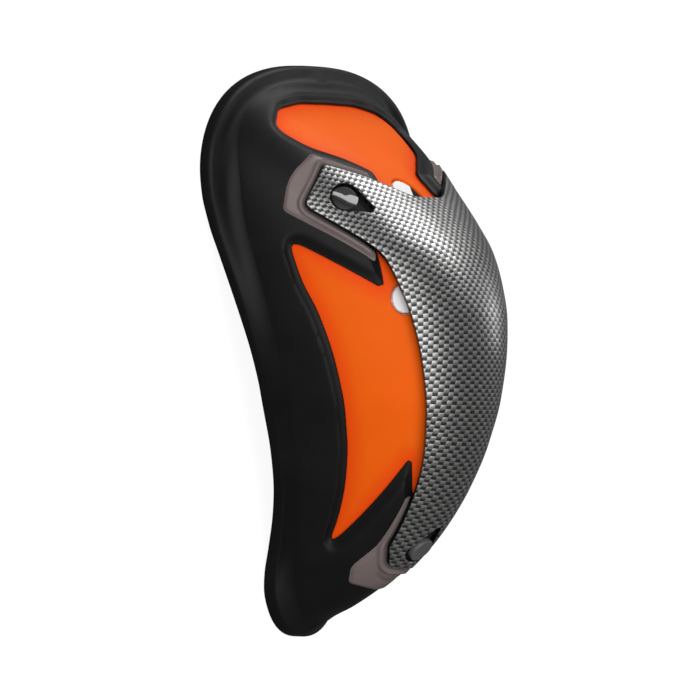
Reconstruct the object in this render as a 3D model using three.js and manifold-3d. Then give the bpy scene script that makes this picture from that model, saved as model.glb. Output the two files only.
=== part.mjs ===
// Athletic cup: a hollow hard shell with a soft overmoulded rim, and a three-armed
// woven-carbon shield riveted over it in three soft sockets.
// Millimetres. The cup lies on its rim: +Z is the front of the cup, +Y the waist end,
// +X the viewer's right. The origin is on the floor under the middle of the cup.

import * as THREE from "three";
import { mergeVertices } from "three/addons/utils/BufferGeometryUtils.js";
import { TessellateModifier } from "three/addons/modifiers/TessellateModifier.js";
import Module from "manifold-3d";

// Driving dimensions

const HALF_LENGTH = 83; // rim, from the middle to either end
const WAIST_FOOT = 76.5; // where the wall meets the rim at the waist end
const TAIL_FOOT = -77; // and at the tail end
const SHELL_WALL = 2.2; // hard shell
const COVER_WALL = 1.8; // soft cover over the shell
const LAYER_GAP = 0.35; // clearance between layers
const SHIELD_WALL = 1.8; // carbon shield
const SOCKET_WALL = 1.5; // soft sockets round the ends of the shield
const LIP_WIDTH = 3; // soft lip that the foot of the shell stands on
const LIP_HEIGHT = 1.4;
const FILLET = 3; // softness of the corner between wall and rim
const EDGE_ROUND = 1.6; // rounding of the rim's outer edge
const EDGE_ROUND_LEAST = 0.15; // and where the rim is narrow

const COVER_LOW = LAYER_GAP;
const COVER_HIGH = COVER_LOW + COVER_WALL;
const SOCKET_LOW = COVER_HIGH + LAYER_GAP;
const SOCKET_HIGH = SOCKET_LOW + SOCKET_WALL;
const SHIELD_LOW = COVER_HIGH + LAYER_GAP;
const SHIELD_HIGH = SHIELD_LOW + SHIELD_WALL;

// Cross-sections of the cup, from the tail to the waist. foot and flange are half
// widths at the foot of the wall and at the edge of the rim, crown is the height of the
// hard shell on the midline, lift the height of the rim's underside, pad the thickness
// of the rim and arch the squareness of the section.
const SECTIONS = [
  { y: -83, foot: 12.0, flange: 16.6, crown: 0.0, lift: 0.0, pad: 5.2, arch: 2.0 },
  { y: -77, foot: 12.0, flange: 16.6, crown: 4.0, lift: 0.0, pad: 5.2, arch: 2.0 },
  { y: -72, foot: 12.4, flange: 16.9, crown: 16.2, lift: 0.0, pad: 5.2, arch: 2.0 },
  { y: -66, foot: 13.4, flange: 17.4, crown: 26.6, lift: 0.5, pad: 5.2, arch: 2.0 },
  { y: -58, foot: 15.6, flange: 18.4, crown: 36.8, lift: 2.4, pad: 5.0, arch: 2.0 },
  { y: -48, foot: 18.6, flange: 20.8, crown: 45.8, lift: 5.2, pad: 4.6, arch: 2.0 },
  { y: -36, foot: 22.6, flange: 25.0, crown: 53.2, lift: 7.6, pad: 4.3, arch: 2.0 },
  { y: -24, foot: 27.2, flange: 29.8, crown: 58.0, lift: 8.7, pad: 4.2, arch: 2.0 },
  { y: -12, foot: 31.8, flange: 34.6, crown: 60.4, lift: 8.8, pad: 4.2, arch: 2.1 },
  { y: 0, foot: 35.8, flange: 39.4, crown: 61.2, lift: 8.0, pad: 4.2, arch: 2.1 },
  { y: 10, foot: 38.4, flange: 43.2, crown: 60.2, lift: 6.5, pad: 4.2, arch: 2.2 },
  { y: 19, foot: 40.4, flange: 46.5, crown: 57.5, lift: 4.8, pad: 4.2, arch: 2.3 },
  { y: 28, foot: 42.2, flange: 49.5, crown: 53.2, lift: 2.8, pad: 4.2, arch: 2.4 },
  { y: 36, foot: 43.6, flange: 52.0, crown: 46.6, lift: 1.0, pad: 4.3, arch: 2.5 },
  { y: 45, foot: 44.8, flange: 54.8, crown: 37.8, lift: 0.1, pad: 4.4, arch: 2.6 },
  { y: 54, foot: 45.5, flange: 56.5, crown: 29.2, lift: 0.0, pad: 4.5, arch: 2.6 },
  { y: 66, foot: 46.0, flange: 57.5, crown: 16.2, lift: 0.0, pad: 4.5, arch: 2.6 },
  { y: 76, foot: 46.0, flange: 58.0, crown: 2.6, lift: 0.0, pad: 4.5, arch: 2.6 },
  { y: 83, foot: 46.0, flange: 58.0, crown: 0.0, lift: 0.0, pad: 4.5, arch: 2.6 },
];

// Rounding of the ends of the two plan outlines.
const FOOT_ENDS = [
  { from: 40, to: WAIST_FOOT, power: 3.0 },
  { from: -60, to: TAIL_FOOT, power: 2.2 },
];
const FLANGE_ENDS = [
  { from: 45, to: HALF_LENGTH, power: 2.5 },
  { from: -66, to: -HALF_LENGTH, power: 2.2 },
];

// Outlines on the wrapped surface of the shell: u runs across it from the midline, y
// along the cup, and round is the radius of each corner. Each is the left half, from the
// waist to the tail, or a whole loop.
const OPENING_HALF = [
  { u: 0, y: 71.6, round: 0 },
  { u: -15, y: 71.4, round: 40 },
  { u: -28, y: 69.4, round: 16 },
  { u: -36, y: 63.6, round: 3 },
  { u: -30, y: 58.4, round: 14 },
  { u: -20, y: 55.2, round: 12 },
  { u: -11.8, y: 51.6, round: 2.2 },
  { u: -14, y: 46, round: 2 },
  { u: -29.8, y: 32, round: 3 },
  { u: -30.8, y: 18.2, round: 1 },
  { u: -54.4, y: 32.6, round: 4 },
  { u: -54.6, y: 21, round: 24 },
  { u: -46.4, y: -0.5, round: 60 },
  { u: -37, y: -25.2, round: 80 },
  { u: -25, y: -56.4, round: 1.8 },
  { u: -17, y: -29.2, round: 1 },
  { u: -11.4, y: -40.6, round: 8 },
  { u: 0, y: -47, round: 0 },
];
const SHIELD_HALF = [
  { u: 0, y: 42.4, round: 0 },
  { u: -8, y: 42.4, round: 16 },
  { u: -21.5, y: 48.2, round: 20 },
  { u: -32, y: 51.6, round: 1.8 },
  { u: -43.6, y: 41, round: 2 },
  { u: -29.4, y: 27.4, round: 10 },
  { u: -23.4, y: 5, round: 70 },
  { u: -13.2, y: -33, round: 90 },
  { u: -9.2, y: -53.8, round: 4 },
  { u: -5, y: -59.2, round: 4 },
  { u: 0, y: -59.2, round: 0 },
];
const ARM_SOCKET = [
  { u: -18.2, y: 50.2, round: 0.6 },
  { u: -32.4, y: 55.6, round: 2.4 },
  { u: -43.2, y: 49.8, round: 24 },
  { u: -50.6, y: 39.8, round: 1.8 },
  { u: -31.8, y: 25.6, round: 0.5 },
  { u: -31, y: 27.6, round: 0.5 },
  { u: -45, y: 41, round: 2.8 },
  { u: -32.2, y: 52.8, round: 2.6 },
  { u: -18.8, y: 48.2, round: 0.4 },
];
const TAIL_SOCKET_HALF = [
  { u: 0, y: -60.4, round: 0 },
  { u: -5.6, y: -60.4, round: 5 },
  { u: -10.2, y: -54.2, round: 5 },
  { u: -12.8, y: -39.8, round: 0.3 },
  { u: -13.7, y: -40.8, round: 0.4 },
  { u: -12.2, y: -53.8, round: 9 },
  { u: -13.8, y: -60.4, round: 3 },
  { u: -9.6, y: -65.2, round: 6 },
  { u: 0, y: -66.6, round: 0 },
];

// Rivets, flush in the keyhole slots of the shield, heading in degrees
const RIVET_HEAD = 3.9;
const RIVET_PROUD = 0.3;
const RIVET_CROWN = 0.6;
const RIVET_SHANK = 2.4;
const KEYHOLE_RADIUS = 4.3;
const KEYHOLE_END_RADIUS = 1.3;
const KEYHOLE_LENGTH = 7.6;
const RIVETS = [
  { name: "rivet_left", u: -31.6, y: 42.6, heading: -30 },
  { name: "rivet_right", u: 31.6, y: 42.6, heading: 210 },
  { name: "rivet_tail", u: 0, y: -54.2, heading: 90 },
];

// Vents through the hard shell
const VENTS = [
  { u: 0, y: 45.6, radius: 7 },
  { u: -24.6, y: 15.8, radius: 4.8 },
  { u: 24.6, y: 15.8, radius: 4.8 },
];

// Mesh fineness
const SPOKES_PER_SIDE = 26;
const CORNER_SPOKES = 25; // length of straight edge that a radian of bend counts for
const DOME_RINGS = 9;
const WALL_END = 0.96; // last ring of the dome, over its whole share
const OUTLINE_STEP = 6;
const WRAP_EDGE = 7;
const WRAP_PASSES = 12;
const ARC_STEPS = 80;
const CRUMB = 0.02; // slivers thinner than this are merged away after a cut
const RIVET_SIDES = 14;
const SPINE_SHARE = 0.62; // length of the seam where the two sides meet, over the foot's

// Smooth curve through one column of the section table, with no overshoot.
function sectionCurve(column) {
  const xs = SECTIONS.map((row) => row.y);
  const ys = SECTIONS.map((row) => row[column]);
  const last = xs.length - 1;
  const steps = xs.slice(1).map((x, i) => x - xs[i]);
  const slopes = steps.map((step, i) => (ys[i + 1] - ys[i]) / step);
  const tangents = ys.map((_, i) => {
    if (i === 0) return slopes[0];
    if (i === last) return slopes[last - 1];
    if (slopes[i - 1] * slopes[i] <= 0) return 0;
    const before = 2 * steps[i] + steps[i - 1];
    const after = steps[i] + 2 * steps[i - 1];
    return (before + after) / (before / slopes[i - 1] + after / slopes[i]);
  });
  return (at) => {
    const x = THREE.MathUtils.clamp(at, xs[0], xs[last]);
    let i = 0;
    while (i < last - 1 && x > xs[i + 1]) i += 1;
    const t = (x - xs[i]) / steps[i];
    const keep = 1 + t * t * (2 * t - 3);
    const lead = t * (1 - t) * (1 - t) * steps[i] * tangents[i];
    const tail = t * t * (t - 1) * steps[i] * tangents[i + 1];
    return keep * ys[i] + (1 - keep) * ys[i + 1] + lead + tail;
  };
}

const footWidth = sectionCurve("foot");
const flangeWidth = sectionCurve("flange");
const crownHeight = sectionCurve("crown");
const rimLift = sectionCurve("lift");
const padThickness = sectionCurve("pad");
const archPower = sectionCurve("arch");

// Share of the full width that is left near the rounded ends of an outline.
function endShare(y, ends) {
  return ends.reduce((share, end) => {
    const reach = THREE.MathUtils.clamp((y - end.from) / (end.to - end.from), 0, 1);
    return share * Math.pow(1 - Math.pow(reach, end.power), 1 / end.power);
  }, 1);
}

const footHalf = (y) => footWidth(y) * endShare(y, FOOT_ENDS);
const flangeHalf = (y) => flangeWidth(y) * endShare(y, FLANGE_ENDS);

// Height of the hard shell's outer surface over a point of the floor.
function shellHeight(x, y) {
  const half = Math.max(footHalf(y), 1e-6);
  const across = Math.min(Math.abs(x) / half, 1);
  const lift = rimLift(y);
  const rise = Math.max(crownHeight(y) - lift, 0);
  return lift + rise * Math.sqrt(1 - Math.pow(across, archPower(y)));
}

// A point at a distance out from the hard shell's surface, square to it.
function offShell(x, y, distance) {
  const room = Math.max(footHalf(y) - Math.abs(x), 0);
  const dx = Math.min(0.05, 0.2 * room + 1e-5);
  const dy = 0.05;
  const normal = new THREE.Vector3(
    (shellHeight(x - dx, y) - shellHeight(x + dx, y)) / (2 * dx),
    (shellHeight(x, y - dy) - shellHeight(x, y + dy)) / (2 * dy),
    1,
  ).normalize();
  return new THREE.Vector3(x, y, shellHeight(x, y)).addScaledVector(normal, distance);
}

// The point at u across the shell, y along it and a distance out from it.
function wrap(u, y, distance) {
  const half = footHalf(y);
  let gone = 0;
  let x = 0;
  let z = shellHeight(0, y);
  for (let i = 1; i <= ARC_STEPS; i += 1) {
    const nextX = half * Math.sin((Math.PI / 2) * (i / ARC_STEPS));
    const nextZ = shellHeight(nextX, y);
    const step = Math.hypot(nextX - x, nextZ - z);
    if (gone + step >= Math.abs(u)) {
      x += (nextX - x) * ((Math.abs(u) - gone) / step);
      break;
    }
    gone += step;
    x = nextX;
    z = nextZ;
  }
  return offShell(Math.sign(u) * Math.min(x, 0.998 * half), y, distance);
}

// Spokes of the plan: matching points on the foot and flange outlines, closer together
// on the bends, from the tail to the waist on the right and back on the left.
function planSpokes() {
  const fine = 1200;
  const side = [];
  for (let i = 0; i <= fine; i += 1) {
    const share = Math.sin((Math.PI / 2) * ((2 * i) / fine - 1));
    const footY = share * (share > 0 ? WAIST_FOOT : -TAIL_FOOT);
    const flangeY = share * HALF_LENGTH;
    side.push({
      foot: new THREE.Vector2(footHalf(footY), footY),
      flange: new THREE.Vector2(flangeHalf(flangeY), flangeY),
    });
  }
  const gone = [0];
  let heading = 0;
  for (let i = 1; i <= fine; i += 1) {
    const step = side[i].flange.clone().sub(side[i - 1].flange);
    const turn = Math.abs(step.angle() - heading);
    heading = step.angle();
    gone.push(gone[i - 1] + step.length() + CORNER_SPOKES * Math.min(turn, 2 * Math.PI - turn));
  }
  const right = [];
  let at = 0;
  for (let k = 0; k <= SPOKES_PER_SIDE; k += 1) {
    const target = (gone[fine] * k) / SPOKES_PER_SIDE;
    while (at < fine && gone[at] < target - 1e-9) at += 1;
    right.push(side[at]);
  }
  for (const end of [right[0], right[SPOKES_PER_SIDE]]) {
    end.foot.x = 0;
    end.flange.x = 0;
  }
  const left = right.slice(1, -1).reverse().map((spoke) => ({
    foot: new THREE.Vector2(-spoke.foot.x, spoke.foot.y),
    flange: new THREE.Vector2(-spoke.flange.x, spoke.flange.y),
  }));
  return [...right, ...left].map((spoke) => {
    const reach = spoke.flange.distanceTo(spoke.foot);
    return {
      ...spoke,
      out: spoke.flange.clone().sub(spoke.foot).normalize(),
      corner: THREE.MathUtils.clamp(reach - COVER_HIGH - 0.5 * LAYER_GAP, EDGE_ROUND_LEAST, EDGE_ROUND),
    };
  });
}

const SPOKES = planSpokes();

// One ring of the dome, from the seam on the crown (0) to the foot of the wall (1).
function domeRing(share, distance, lowest = () => -Infinity) {
  const across = 0.998 * Math.sin((Math.PI / 2) * share);
  const along = SPINE_SHARE + (1 - SPINE_SHARE) * across;
  return SPOKES.map(({ foot }) => {
    const point = offShell(across * foot.x, along * foot.y, distance);
    point.z = Math.max(point.z, lowest(point.y));
    return point;
  });
}

// A ring at a distance out from the foot of the wall, or a share of the rim's rounded
// corner in from its edge.
function footRing(distance, height) {
  return SPOKES.map(({ foot, out }) => {
    const plan = foot.clone().addScaledVector(out, distance);
    return new THREE.Vector3(plan.x, plan.y, height(foot.y));
  });
}
function edgeRing(share, height) {
  return SPOKES.map(({ flange, out, corner }) => {
    const plan = flange.clone().addScaledVector(out, -share * corner);
    return new THREE.Vector3(plan.x, plan.y, height(flange.y));
  });
}

const ringShares = (from, to, count) =>
  Array.from({ length: count }, (_, i) => from + ((to - from) * i) / (count - 1));

// Closed solid skinned over rings that start and end on a seam, the same on both sides.
function skin(rings) {
  const count = rings[0].length;
  const triangles = [];
  for (let r = 0; r + 1 < rings.length; r += 1) {
    for (let i = 0; i < count; i += 1) {
      const j = (i + 1) % count;
      const [a, b, c, d] = [rings[r][i], rings[r][j], rings[r + 1][j], rings[r + 1][i]];
      if (i < count / 2) triangles.push(a, d, b, b, d, c);
      else triangles.push(a, d, c, a, c, b);
    }
  }
  const geometry = new THREE.BufferGeometry().setFromPoints(triangles);
  return toSolid(geometry);
}

const wasm = await Module();
wasm.setup();

// A closed geometry as a solid that can be joined and cut, and back again.
function toSolid(geometry) {
  const bare = geometry.index ? geometry.toNonIndexed() : geometry;
  const positions = new THREE.BufferGeometry();
  positions.setAttribute("position", bare.getAttribute("position"));
  const merged = mergeVertices(positions, 1e-3);
  const corners = merged.index.array;
  const triVerts = [];
  for (let i = 0; i < corners.length; i += 3) {
    const [a, b, c] = corners.slice(i, i + 3);
    if (a !== b && b !== c && c !== a) triVerts.push(a, b, c);
  }
  return new wasm.Manifold(
    new wasm.Mesh({
      numProp: 3,
      vertProperties: merged.getAttribute("position").array,
      triVerts: new Uint32Array(triVerts),
    }),
  );
}
function toGeometry(solid) {
  const mesh = solid.simplify(CRUMB).getMesh();
  const geometry = new THREE.BufferGeometry();
  const positions = new Float32Array(mesh.vertProperties);
  geometry.setAttribute("position", new THREE.BufferAttribute(positions, 3));
  geometry.setIndex(new THREE.BufferAttribute(new Uint32Array(mesh.triVerts), 1));
  geometry.computeVertexNormals();
  return geometry;
}

// Loop of points round a polygon whose corners are rounded, about evenly spaced.
function roundedLoop(corners) {
  const at = (i) => {
    const corner = corners[(i + corners.length) % corners.length];
    return new THREE.Vector2(corner.u, corner.y);
  };
  const path = new THREE.Path();
  corners.forEach((corner, i) => {
    const point = at(i);
    const toBefore = at(i - 1).sub(point);
    const toAfter = at(i + 1).sub(point);
    const half = Math.acos(toBefore.dot(toAfter) / (toBefore.length() * toAfter.length())) / 2;
    const longest = 0.48 * Math.min(toBefore.length(), toAfter.length());
    const cut = Math.min(corner.round / Math.tan(half), longest);
    const start = point.clone().addScaledVector(toBefore.normalize(), cut);
    const end = point.clone().addScaledVector(toAfter.normalize(), cut);
    if (i === 0) path.moveTo(start.x, start.y);
    else path.lineTo(start.x, start.y);
    if (cut > 1e-6) path.quadraticCurveTo(point.x, point.y, end.x, end.y);
  });
  path.closePath();
  const points = [];
  for (const curve of path.curves) {
    const fewest = curve.isLineCurve ? 1 : 3;
    const parts = Math.max(fewest, Math.round(curve.getLength() / OUTLINE_STEP));
    points.push(...curve.getPoints(parts).slice(0, -1));
  }
  return points.filter((point, i) => point.distanceTo(points[(i + 1) % points.length]) > 1e-4);
}

// Whole outline from its left half.
function mirrored(half) {
  const right = half.filter((corner) => corner.u !== 0).reverse();
  const middle = half.filter((corner) => corner.u === 0 && corner !== half[0]);
  const left = half.filter((corner) => corner.u !== 0);
  return [half[0], ...left, ...middle, ...right.map((corner) => ({ ...corner, u: -corner.u }))];
}
const flipped = (loop) => loop.map((corner) => ({ ...corner, u: -corner.u })).reverse();

// A loop drawn true to size on the surface round a point of it, as points across and along.
function onSurface({ u, y }, loop) {
  const seat = wrap(u, y, 0);
  const uStep = wrap(u + 0.5, y, 0).sub(wrap(u - 0.5, y, 0));
  const yStep = wrap(u, y + 0.5, 0).sub(wrap(u, y - 0.5, 0));
  const right = uStep.clone().normalize();
  const up = wrap(u, y, 1).sub(seat).cross(right);
  return loop.map((point) => {
    const along = point.y / yStep.dot(up);
    const across = (point.x - along * yStep.dot(right)) / uStep.length();
    return new THREE.Vector2(u + across, y + along);
  });
}

// A round hole, and the keyhole slot of a rivet.
function circleLoop(seat, radius) {
  const parts = Math.max(10, Math.ceil((2 * Math.PI * radius) / (OUTLINE_STEP / 3)));
  return onSurface(seat, new THREE.EllipseCurve(0, 0, radius, radius).getPoints(parts).slice(0, -1));
}
function keyholeLoop(rivet) {
  const heading = THREE.MathUtils.degToRad(rivet.heading);
  const taper = Math.acos((KEYHOLE_RADIUS - KEYHOLE_END_RADIUS) / KEYHOLE_LENGTH);
  const tip = new THREE.Vector2(KEYHOLE_LENGTH, 0).rotateAround(new THREE.Vector2(), heading);
  const path = new THREE.Path();
  path.absarc(0, 0, KEYHOLE_RADIUS, heading + taper, heading - taper + 2 * Math.PI);
  path.absarc(tip.x, tip.y, KEYHOLE_END_RADIUS, heading - taper, heading + taper);
  return onSurface(rivet, path.getPoints(8).slice(0, -1));
}

// Prism through the layers of the shell, cut square to its surface.
function wrappedPrism(loop, low, high, holes = []) {
  const shape = new THREE.Shape(loop);
  shape.holes = holes.map((hole) => new THREE.Path(hole));
  const flat = new THREE.ExtrudeGeometry(shape, { depth: high - low, bevelEnabled: false });
  flat.deleteAttribute("normal");
  flat.deleteAttribute("uv");
  const fine = new TessellateModifier(WRAP_EDGE, WRAP_PASSES).modify(flat);
  const position = fine.getAttribute("position");
  for (let i = 0; i < position.count; i += 1) {
    const point = wrap(position.getX(i), position.getY(i), low + position.getZ(i));
    position.setXYZ(i, point.x, point.y, point.z);
  }
  return toSolid(fine);
}

// Layer of the dome between two distances out from the shell.
function layer(low, high) {
  const shares = ringShares(0, WALL_END, DOME_RINGS);
  return skin([
    ...shares.map((share) => domeRing(share, high)),
    ...shares.toReversed().map((share) => domeRing(share, low)),
  ]);
}

// Hard shell, whose foot stands on the soft lip of the rim
function coreShell() {
  const footHeight = (y) => rimLift(y) + LIP_HEIGHT + LAYER_GAP;
  const shares = ringShares(0, WALL_END, DOME_RINGS);
  const solid = skin([
    ...shares.map((share) => domeRing(share, 0, footHeight)),
    footRing(0, footHeight),
    footRing(-SHELL_WALL, footHeight),
    ...shares.toReversed().map((share) => domeRing(share, -SHELL_WALL, footHeight)),
  ]);
  const vents = VENTS.map((vent) => wrappedPrism(circleLoop(vent, vent.radius), -SHELL_WALL - 1.5, 1.5));
  return vents.reduce((body, vent) => body.subtract(vent), solid);
}

// Soft rim and the cover that it runs up into, open over the middle of the shell
function rimPad() {
  const top = (y) => rimLift(y) + padThickness(y);
  const soften = (height, floor) => {
    const over = height - floor;
    return floor + (over + Math.hypot(over, FILLET)) / 2;
  };
  const shares = ringShares(0, WALL_END, DOME_RINGS);
  const outside = shares.map((share) => domeRing(share, COVER_HIGH));
  for (const point of outside.flat()) point.z = soften(point.z, top(point.y));
  const lipTop = (y) => rimLift(y) + LIP_HEIGHT;
  const solid = skin([
    ...outside,
    footRing(COVER_HIGH, (y) => soften(rimLift(y), top(y))),
    edgeRing(1, top),
    edgeRing(0.3, (y) => top(y) - 0.3 * EDGE_ROUND),
    edgeRing(0, (y) => top(y) - EDGE_ROUND),
    edgeRing(0, (y) => rimLift(y) + 0.6 * EDGE_ROUND),
    edgeRing(0.6, rimLift),
    footRing(-LIP_WIDTH, rimLift),
    footRing(-LIP_WIDTH, lipTop),
    footRing(COVER_LOW, lipTop),
    ...shares.toReversed().map((share) => domeRing(share, COVER_LOW, lipTop)),
  ]);
  const holes = RIVETS.map((rivet) => circleLoop(rivet, RIVET_SHANK + 2 * LAYER_GAP));
  const loops = [roundedLoop(mirrored(OPENING_HALF)), ...holes];
  return loops
    .map((loop) => wrappedPrism(loop, COVER_LOW - 1, COVER_HIGH + 3))
    .reduce((body, hole) => body.subtract(hole), solid);
}

// Three-armed shield with a keyhole at the end of each arm
function carbonShield() {
  const outline = roundedLoop(mirrored(SHIELD_HALF));
  const keyholes = RIVETS.map(keyholeLoop);
  const prism = wrappedPrism(outline, SHIELD_LOW - 1, SHIELD_HIGH + 1, keyholes);
  return layer(SHIELD_LOW, SHIELD_HIGH).intersect(prism);
}

// Soft socket round one end of the shield
function socket(corners) {
  const prism = wrappedPrism(roundedLoop(corners), SOCKET_LOW - 1, SOCKET_HIGH + 1);
  return layer(SOCKET_LOW, SOCKET_HIGH).intersect(prism);
}

// Rivet with a low domed head, its shank standing on the shell
function rivetGeometry() {
  const under = SHIELD_LOW;
  const top = SHIELD_HIGH + RIVET_PROUD;
  const profile = [
    new THREE.Vector2(0, LAYER_GAP),
    new THREE.Vector2(RIVET_SHANK, LAYER_GAP),
    new THREE.Vector2(RIVET_SHANK, under),
    new THREE.Vector2(RIVET_HEAD, under),
    new THREE.Vector2(RIVET_HEAD, top - RIVET_CROWN),
    new THREE.Vector2(0.85 * RIVET_HEAD, top - 0.25 * RIVET_CROWN),
    new THREE.Vector2(0.45 * RIVET_HEAD, top),
    new THREE.Vector2(0, top),
  ];
  return new THREE.LatheGeometry(profile, RIVET_SIDES).rotateX(Math.PI / 2);
}

const MATERIALS = {
  shell: new THREE.MeshStandardMaterial({ color: 0xee6410, roughness: 0.45, metalness: 0 }),
  rim: new THREE.MeshStandardMaterial({ color: 0x1b1d1c, roughness: 0.6, metalness: 0 }),
  shield: new THREE.MeshStandardMaterial({ color: 0x6f7070, roughness: 0.35, metalness: 0.2 }),
  socket: new THREE.MeshStandardMaterial({ color: 0x75686a, roughness: 0.5, metalness: 0 }),
  rivet: new THREE.MeshStandardMaterial({ color: 0x4a4d4e, roughness: 0.45, metalness: 0 }),
};

const cup = new THREE.Group();

function addPiece(name, geometry, material) {
  const mesh = new THREE.Mesh(geometry, material);
  mesh.name = name;
  cup.add(mesh);
  return mesh;
}

addPiece("core_shell", toGeometry(coreShell()), MATERIALS.shell);
addPiece("rim_pad", toGeometry(rimPad()), MATERIALS.rim);
addPiece("carbon_shield", toGeometry(carbonShield()), MATERIALS.shield);
addPiece("socket_left", toGeometry(socket(ARM_SOCKET)), MATERIALS.socket);
addPiece("socket_right", toGeometry(socket(flipped(ARM_SOCKET))), MATERIALS.socket);
addPiece("socket_tail", toGeometry(socket(mirrored(TAIL_SOCKET_HALF))), MATERIALS.socket);

for (const { name, u, y } of RIVETS) {
  const mesh = addPiece(name, rivetGeometry(), MATERIALS.rivet);
  const seat = wrap(u, y, 0);
  const axis = wrap(u, y, 1).sub(seat);
  mesh.position.copy(seat);
  mesh.quaternion.setFromUnitVectors(new THREE.Vector3(0, 0, 1), axis);
}

export default cup;
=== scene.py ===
"""Athletic cup: the soft black rim, the orange hard shell, the woven shield with its three
soft sockets and the rivets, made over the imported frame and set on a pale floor."""

import math

import bmesh
import bpy
import numpy as np
from mathutils import Matrix, Vector
from mathutils.kdtree import KDTree


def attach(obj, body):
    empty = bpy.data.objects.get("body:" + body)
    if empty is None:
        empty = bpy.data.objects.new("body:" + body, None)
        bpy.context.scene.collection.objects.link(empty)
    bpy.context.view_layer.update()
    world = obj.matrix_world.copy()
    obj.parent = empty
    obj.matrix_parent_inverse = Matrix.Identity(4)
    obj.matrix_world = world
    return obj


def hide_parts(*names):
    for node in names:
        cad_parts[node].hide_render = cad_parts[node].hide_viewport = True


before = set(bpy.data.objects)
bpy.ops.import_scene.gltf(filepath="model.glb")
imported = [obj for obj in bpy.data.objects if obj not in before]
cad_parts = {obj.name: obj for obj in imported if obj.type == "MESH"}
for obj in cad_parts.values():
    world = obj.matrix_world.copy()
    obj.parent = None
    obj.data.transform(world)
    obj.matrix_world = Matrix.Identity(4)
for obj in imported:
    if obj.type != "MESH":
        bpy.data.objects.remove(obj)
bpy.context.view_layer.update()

bl_info = {
    "name": "Athletic Cup",
    "version": (1, 0, 0),
    "blender": (4, 5, 0),
    "location": "View3D > Sidebar > Cup",
    "description": "Makes the pieces, finishes and stage of an athletic cup over its frame",
    "category": "Object",
}

MM = 0.001

# Cross-sections from the tail to the waist, in millimetres: place along the cup, half width at
# the foot of the wall, half width at the edge of the rim, height of the shell on the midline,
# height of the rim's underside, thickness of the rim, squareness of the section.
SECTIONS = np.array((
    (-83, 12.0, 16.6, 0.0, 0.0, 5.2, 2.0),
    (-77, 12.0, 16.6, 4.0, 0.0, 5.2, 2.0),
    (-72, 12.4, 16.9, 16.2, 0.0, 5.2, 2.0),
    (-66, 13.4, 17.4, 26.6, 0.5, 5.2, 2.0),
    (-58, 15.6, 18.4, 36.8, 2.4, 5.0, 2.0),
    (-48, 18.6, 20.8, 45.8, 5.2, 4.6, 2.0),
    (-36, 22.6, 25.0, 53.2, 7.6, 4.3, 2.0),
    (-24, 27.2, 29.8, 58.0, 8.7, 4.2, 2.0),
    (-12, 31.8, 34.6, 60.4, 8.8, 4.2, 2.1),
    (0, 35.8, 39.4, 61.2, 8.0, 4.2, 2.1),
    (10, 38.4, 43.2, 60.2, 6.5, 4.2, 2.2),
    (19, 40.4, 46.5, 57.5, 4.8, 4.2, 2.3),
    (28, 42.2, 49.5, 53.2, 2.8, 4.2, 2.4),
    (36, 43.6, 52.0, 46.6, 1.0, 4.3, 2.5),
    (45, 44.8, 54.8, 37.8, 0.1, 4.4, 2.6),
    (54, 45.5, 56.5, 29.2, 0.0, 4.5, 2.6),
    (66, 46.0, 57.5, 16.2, 0.0, 4.5, 2.6),
    (76, 46.0, 58.0, 2.6, 0.0, 4.5, 2.6),
    (83, 46.0, 58.0, 0.0, 0.0, 4.5, 2.6),
))
HALF_LENGTH = 83
WAIST_FOOT = 76.5
TAIL_FOOT = -77
SPINE_SHARE = 0.62

# Rounded ends of the two plan outlines: where the end starts, where it stops, its squareness.
FOOT_ENDS = ((40, WAIST_FOOT, 3.0), (-60, TAIL_FOOT, 2.2))
FLANGE_ENDS = ((45, HALF_LENGTH, 2.5), (-66, -HALF_LENGTH, 2.2))

# Heights of the layers out from the hard shell, and the sizes of the rim.
SHELL_WALL = 2.2
LAYER_GAP = 0.35
COVER_LOW = 0.35
COVER_HIGH = 2.15
SOCKET_LOW = 2.25
SOCKET_CLEARANCE = 0.4
SHIELD_LOW = 2.5
SHIELD_HIGH = 4.3
LIP_WIDTH = 3.0
LIP_HEIGHT = 1.4
LIP_CORNER = 0.4
FILLET = 10.0
WAIST_FILLET = 4.0
WAIST_CORNER = (45, 68)  # where along the cup the first fillet turns into the second
WAIST_SLOPE = (62, 69)  # where along the cup the slope to a window narrows to half
EDGE_ROUND = 1.6
STEEPEST = 1.2  # most that the rim may lean at its edge, in radians, and sag, as a slope
TINY = 1e-6
CLOSE = 1e-4  # points nearer to each other than this are one point

# How finely the pieces are made.
LIP_STEPS = 5  # rows of vertices round the rounded edge of a sheet
RIM_ROWS = 22  # rows of vertices from the outer foot of the wall, round the rim to the inner foot
NEAR_LINE = 0.34  # share of a cell within which a vertex is moved onto a line
NEAR_FOOT = 0.998  # share of the way to the foot at which the surface stops, short of its upright end
SMOOTH_ANGLE = 40  # degrees

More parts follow.
